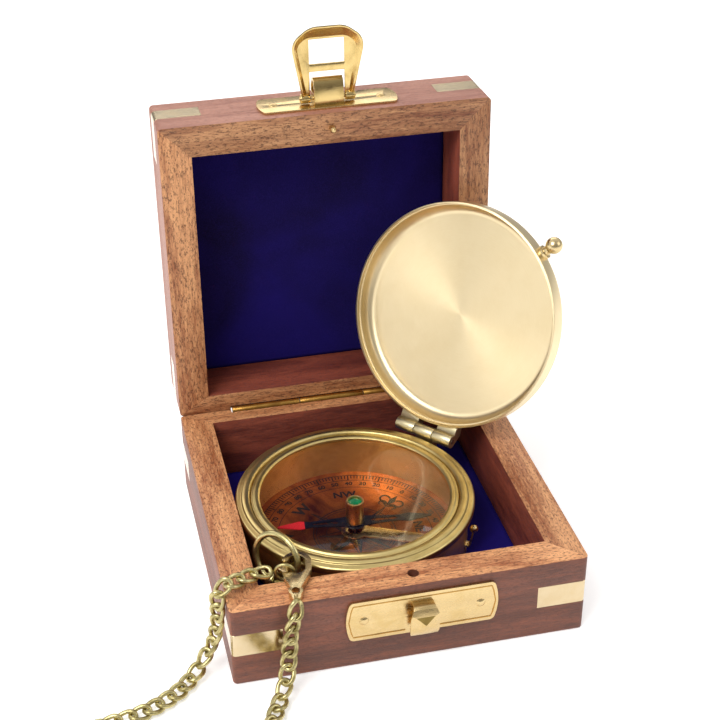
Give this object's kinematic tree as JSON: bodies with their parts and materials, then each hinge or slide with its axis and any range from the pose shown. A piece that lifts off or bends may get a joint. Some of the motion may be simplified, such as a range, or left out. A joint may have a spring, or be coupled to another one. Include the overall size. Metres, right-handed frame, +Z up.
{
  "type": "boxed pocket compass",
  "caption": "Lidded brass pocket compass in a hinged hardwood box with brass inlays, swing hasp and velvet lining, with its ring, lobster clasp and curb chain.",
  "frame": {"origin": "centre of the box base's underside", "axes": "+Z up, -Y to the front of the box where the catch is, +X to the right seen from the front"},
  "size_m": [0.1911, 0.2003, 0.1546],
  "materials": {
    "hardwood": "oiled, open pores",
    "velvet": "short pile",
    "brass": "polished",
    "pale_brass": "spun",
    "antique_brass": "worn",
    "steel": "satin",
    "blued_steel": "blued, red point",
    "glass": "clear",
    "copper_dial": "etched copper",
    "jewel": "clear green"
  },
  "bodies": {
    "base": {"base_back_board": "hardwood", "base_bottom_panel": "hardwood", "base_corner_inlays": "brass", "base_front_board": "hardwood", "base_hinge_leaf": "brass", "base_hinge_screws": "steel", "base_left_board": "hardwood", "base_right_board": "hardwood", "base_velvet": "velvet", "bezel": "brass", "bow": "antique_brass", "box_hinge_pin": "steel", "case_bowl": "brass", "case_hinge_bracket": "pale_brass", "catch_nose": "brass", "catch_plate": "brass", "catch_plate_nails": "brass", "chain": "antique_brass", "chain_end_ring": "antique_brass", "clasp_body": "antique_brass", "clasp_rivet": "antique_brass", "clasp_spring": "steel", "compass_hinge_pin": "steel", "dial_plate": "copper_dial", "dial_spacer_ring": "brass", "glass": "glass", "glass_retaining_ring": "brass", "jump_ring": "antique_brass", "lifter_pivot_pin": "steel", "pivot_post": "steel"},
    "box_lid": {"hasp_pin": "steel", "hasp_plate": "brass", "hasp_plate_nails": "brass", "hasp_tongue": "brass", "lid_back_board": "hardwood", "lid_corner_inlays": "brass", "lid_front_board": "hardwood", "lid_hinge_leaf": "brass", "lid_hinge_screws": "steel", "lid_left_board": "hardwood", "lid_right_board": "hardwood", "lid_top_panel": "hardwood", "lid_velvet": "velvet", "locating_pin": "brass"},
    "hasp": {"hasp": "brass"},
    "needle": {"needle_blade": "blued_steel", "needle_hub": "brass", "needle_cap": "brass", "cap_jewel": "jewel"},
    "lifter": {"lifter_lever": "brass", "lifter_ball": "brass"},
    "compass_lid": {"compass_cover": "pale_brass", "cover_hinge_knuckles": "pale_brass", "cover_knob": "pale_brass"},
    "clasp_gate": {"clasp_gate": "antique_brass"}
  },
  "joints": [
    {"name": "box_lid_hinge", "type": "hinge", "parent": "base", "child": "box_lid", "pos_m": [0, 0.051, 0.0267], "axis": [-1, 0, 0], "range_deg": [-87, 0]},
    {"name": "hasp_hinge", "type": "hinge", "parent": "box_lid", "child": "hasp", "pos_m": [0.0018, 0.06293, 0.13088], "axis": [1, 0, 0], "range_deg": [-78, 30]},
    {"name": "compass_lid_hinge", "type": "hinge", "parent": "base", "child": "compass_lid", "pos_m": [0.0247, 0.02433, 0.0259], "axis": [-0.66, 0.7513, 0], "range_deg": [-110.5, 0]},
    {"name": "needle_turn", "type": "hinge", "parent": "base", "child": "needle", "pos_m": [-0.0055, -0.0022, 0.014], "axis": [0, 0, 1], "continuous": true},
    {"name": "needle_lifter", "type": "hinge", "parent": "base", "child": "lifter", "pos_m": [0.02582, -0.01667, 0.0106], "axis": [0.4195, 0.9078, 0], "range_deg": [0, 3.8]},
    {"name": "clasp_gate_hinge", "type": "hinge", "parent": "base", "child": "clasp_gate", "pos_m": [-0.03467, -0.04179, 0.0285], "axis": [0, 0, -1], "range_deg": [0, 12], "stiffness_Nm_per_rad": 0.002}
  ],
  "couplings": [
    {"joint": "compass_lid_hinge", "follows": "box_lid_hinge", "ratio": 1.2701}
  ]
}
